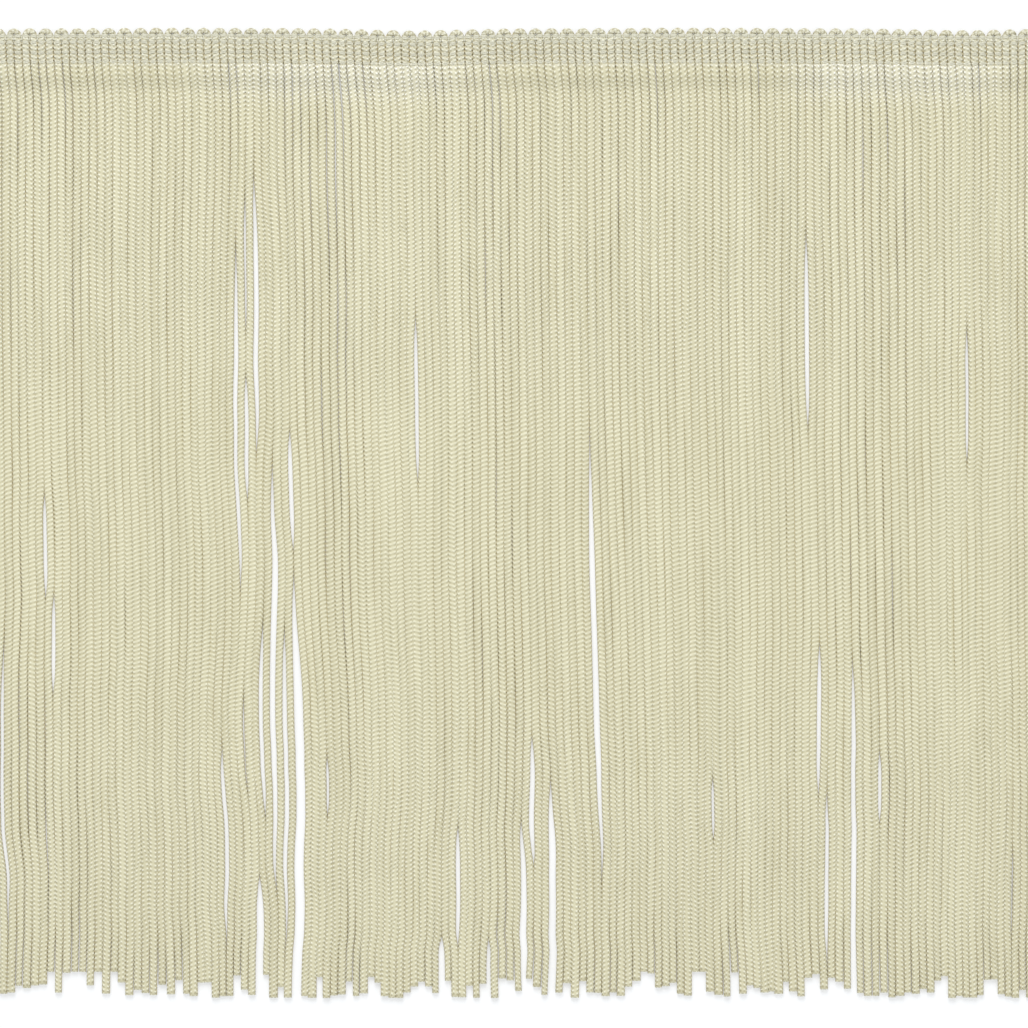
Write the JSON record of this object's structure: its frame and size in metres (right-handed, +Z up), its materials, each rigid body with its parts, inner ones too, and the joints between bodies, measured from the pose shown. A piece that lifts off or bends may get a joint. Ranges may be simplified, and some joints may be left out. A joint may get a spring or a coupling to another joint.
{
  "type": "chainette fringe trim",
  "caption": "Cut length of knitted chainette fringe trim with a looped, thread-bound heading, lying flat and face up.",
  "frame": {"origin": "middle of the trim's footprint, on the surface that it lies on", "axes": "+X along the heading, +Y from the cut ends of the fringe up to the heading, +Z up out of the surface, through the trim's face"},
  "size_m": [0.2562, 0.2374, 0.0023],
  "materials": {
    "chainette": "cream rayon knitted cord, soft satin sheen",
    "binding_thread": "ivory fine thread, satin"
  },
  "bodies": {
    "root": {"fringe_comb": "chainette", "binding_row_1": "binding_thread", "binding_row_2": "binding_thread", "binding_row_3": "binding_thread", "binding_row_4": "binding_thread"}
  },
  "joints": []
}
